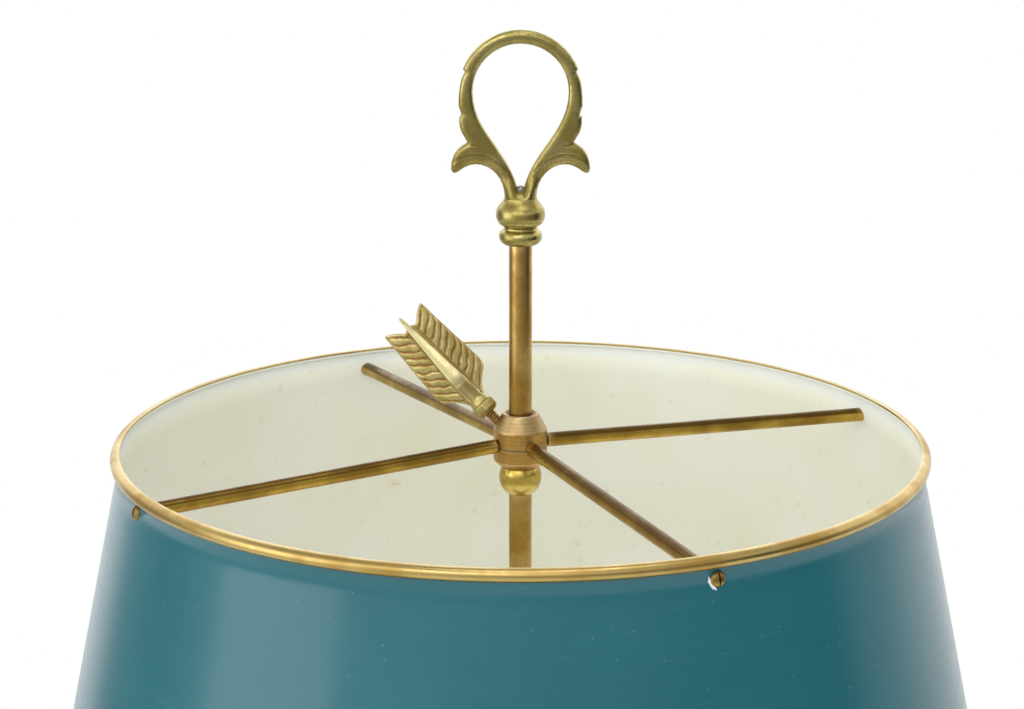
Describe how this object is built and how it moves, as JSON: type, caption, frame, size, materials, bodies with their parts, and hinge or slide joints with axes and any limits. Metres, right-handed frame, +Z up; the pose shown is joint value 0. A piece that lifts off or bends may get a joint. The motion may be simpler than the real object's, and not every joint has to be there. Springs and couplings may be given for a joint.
{
  "type": "bouillotte lamp",
  "caption": "Candle-style table lamp on a fluted column, with a round sheet shade that slides and turns on the rod, an arrow-shaped clamping key and a loop handle.",
  "frame": {"origin": "centre of the felt pad, on the table under the rod", "axes": "+Z up along the rod; -Y is the side of the switch, +Y the side of the cord outlet; the loop handle lies across X"},
  "size_m": [0.4196, 0.4196, 0.6996],
  "materials": {
    "felt": "matt wool felt",
    "cast_iron": "rough casting",
    "aged_brass": "polished, mellowed",
    "rod_brass": "antiqued, satin",
    "hub_brass": "turned, with a reddish patina",
    "rim_brass": "polished",
    "key_brass": "cast, with dark recesses",
    "steel": "zinc plated",
    "bushing": "moulded",
    "phenolic": "moulded phenolic",
    "sleeve": "ivory, like wax",
    "cap": "rolled thread",
    "glass": "clear",
    "tole": "teal outside, cream inside"
  },
  "bodies": {
    "stand": {"felt_pad": "felt", "base_weight": "cast_iron", "base_dish": "aged_brass", "gallery_ring": "aged_brass", "plinth": "aged_brass", "column_base": "aged_brass", "fluted_column": "aged_brass", "capital": "aged_brass", "cluster_body": "aged_brass", "cluster_cap": "aged_brass", "switch_nut": "aged_brass", "arm_1": "aged_brass", "arm_2": "aged_brass", "arm_3": "aged_brass", "drip_pan_1": "aged_brass", "drip_pan_2": "aged_brass", "drip_pan_3": "aged_brass", "candle_cup_1": "aged_brass", "candle_cup_2": "aged_brass", "candle_cup_3": "aged_brass", "finial_collar": "aged_brass", "finial_knob": "aged_brass", "loop_handle": "aged_brass", "lower_tube": "rod_brass", "upper_tube": "rod_brass", "base_washer": "steel", "pipe_nuts": "steel", "lamp_pipe": "steel", "arm_nipples": "steel", "core_rod": "steel", "cord_bushing": "bushing", "switch_body": "phenolic", "lampholder_1": "phenolic", "lampholder_2": "phenolic", "lampholder_3": "phenolic", "candle_sleeve_1": "sleeve", "candle_sleeve_2": "sleeve", "candle_sleeve_3": "sleeve", "bulb_cap_1": "cap", "bulb_cap_2": "cap", "bulb_cap_3": "cap", "bulb_glass_1": "glass", "bulb_glass_2": "glass", "bulb_glass_3": "glass", "bulb_stems": "glass"},
    "stop_bead": {"stop_bead": "aged_brass"},
    "shade": {"hub_upper": "hub_brass", "hub_lower": "hub_brass", "spoke_1": "rod_brass", "spoke_2": "rod_brass", "spoke_3": "rod_brass", "spoke_4": "rod_brass", "shade_shell": "tole", "top_rim_ring": "rim_brass", "bottom_rim_ring": "rim_brass", "shade_screws": "rod_brass"},
    "key": {"key_stud": "key_brass", "arrow_key": "key_brass"},
    "switch_knob": {"switch_knob": "aged_brass"}
  },
  "joints": [
    {"name": "shade_turn", "type": "hinge", "parent": "stand", "child": "stop_bead", "pos_m": [0, 0, 0.5087], "axis": [0, 0, 1], "continuous": true},
    {"name": "shade_slide", "type": "slide", "parent": "stop_bead", "child": "shade", "axis": [0, 0, 1], "range_m": [0, 0.07]},
    {"name": "key_turn", "type": "hinge", "parent": "shade", "child": "key", "pos_m": [0, 0, 0.5172], "axis": [-0.6876, 0.2421, 0.6845], "range_deg": [0, 180]},
    {"name": "switch_turn", "type": "hinge", "parent": "stand", "child": "switch_knob", "pos_m": [0, -0.033, 0.23], "axis": [0, -1, 0], "continuous": true}
  ]
}
